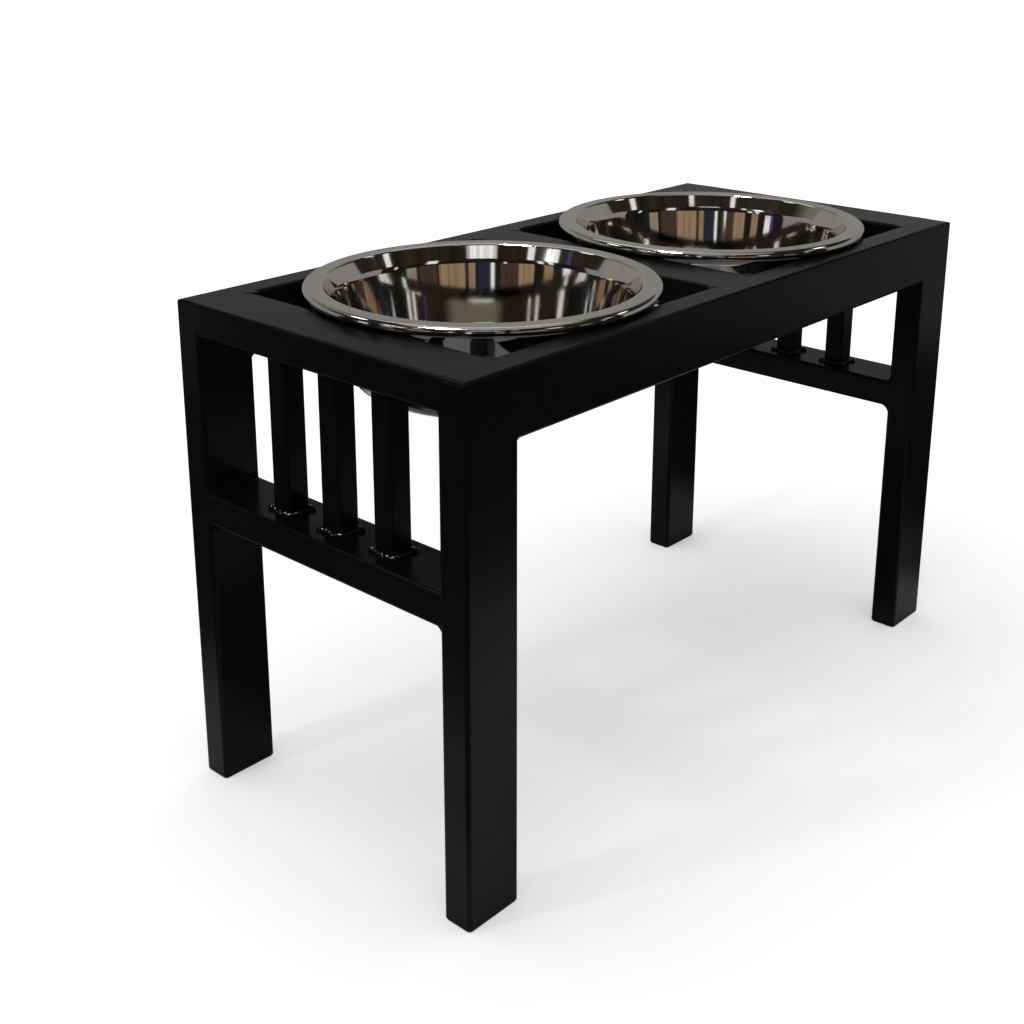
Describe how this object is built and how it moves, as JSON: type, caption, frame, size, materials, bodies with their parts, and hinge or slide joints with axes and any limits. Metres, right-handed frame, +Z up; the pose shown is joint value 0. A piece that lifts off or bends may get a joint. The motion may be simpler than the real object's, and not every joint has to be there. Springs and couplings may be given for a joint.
{
  "type": "elevated dog feeder",
  "caption": "Raised pet-bowl stand welded from rectangular tube, with slatted ends and square openings that carry lift-out round steel bowls by their rims.",
  "frame": {"origin": "on the floor, under the middle of the table", "axes": "+X along the table's length, +Y across its depth from front to rear, +Z up"},
  "size_m": [0.6604, 0.3048, 0.4147],
  "materials": {
    "powder_coat": "satin powder coat",
    "polished_steel": "mirror-polished stainless steel",
    "plug": "moulded"
  },
  "bodies": {
    "stand": {"leg_front_left": "powder_coat", "leg_rear_left": "powder_coat", "leg_front_right": "powder_coat", "leg_rear_right": "powder_coat", "apron_front": "powder_coat", "apron_rear": "powder_coat", "end_rail_top_left": "powder_coat", "end_rail_lower_left": "powder_coat", "end_rail_top_right": "powder_coat", "end_rail_lower_right": "powder_coat", "centre_bar": "powder_coat", "slat_left_front": "powder_coat", "slat_left_middle": "powder_coat", "slat_left_rear": "powder_coat", "slat_right_front": "powder_coat", "slat_right_middle": "powder_coat", "slat_right_rear": "powder_coat", "foot_plug_front_left": "plug", "foot_plug_rear_left": "plug", "foot_plug_front_right": "plug", "foot_plug_rear_right": "plug", "rail_welds_left": "powder_coat", "rail_welds_right": "powder_coat", "slat_welds_left": "powder_coat", "slat_welds_right": "powder_coat", "apron_welds_front": "powder_coat", "apron_welds_rear": "powder_coat", "centre_bar_welds": "powder_coat", "opening_welds": "powder_coat"},
    "bowl_left": {"bowl_left": "polished_steel"},
    "bowl_right": {"bowl_right": "polished_steel"}
  },
  "joints": [
    {"name": "bowl_left_lift", "type": "slide", "parent": "stand", "child": "bowl_left", "axis": [0, 0, 1], "range_m": [0, 0.12]},
    {"name": "bowl_right_lift", "type": "slide", "parent": "stand", "child": "bowl_right", "axis": [0, 0, 1], "range_m": [0, 0.12]}
  ]
}
